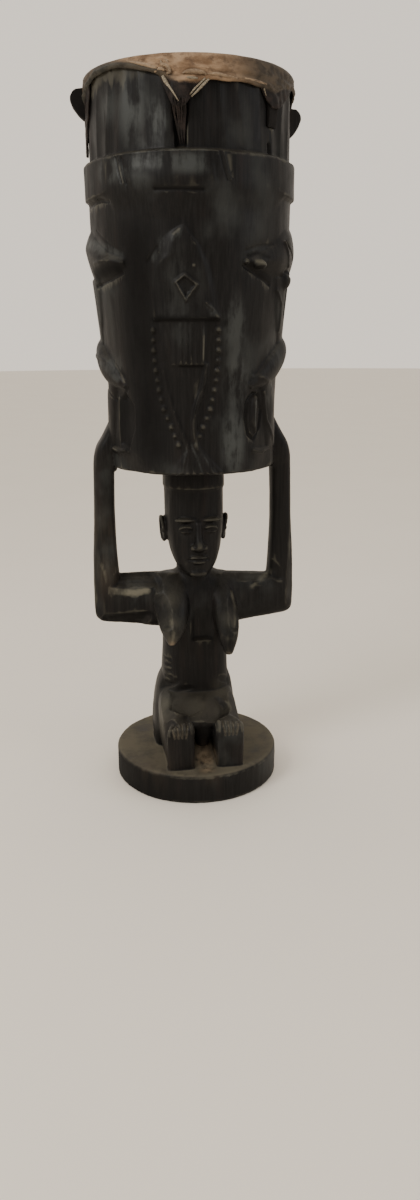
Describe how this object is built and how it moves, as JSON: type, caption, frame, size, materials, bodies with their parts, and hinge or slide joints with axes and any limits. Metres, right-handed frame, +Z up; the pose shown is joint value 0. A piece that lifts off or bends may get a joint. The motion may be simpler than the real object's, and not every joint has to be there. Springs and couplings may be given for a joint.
{
  "type": "ceremonial drum",
  "caption": "Tall carved wooden drum: a hollow barrel with a pegged hide head, held up on the head and raised hands of a seated figure on a round base.",
  "frame": {"origin": "middle of the round base's underside", "axes": "+Z up along the drum's axis; the figure faces -Y; +X to the right as seen from the front"},
  "size_m": [0.3109, 0.2882, 1.0001],
  "materials": {
    "wood": "dark stained wood with a worn satin sheen",
    "hide": "dried tan rawhide",
    "peg_wood": "near-black hewn wood"
  },
  "bodies": {
    "root": {"body": "wood", "skin": "hide", "peg_front": "peg_wood", "peg_front_right": "peg_wood", "peg_right": "peg_wood", "peg_back_right": "peg_wood", "peg_back_left": "peg_wood", "peg_left": "peg_wood"}
  },
  "joints": []
}
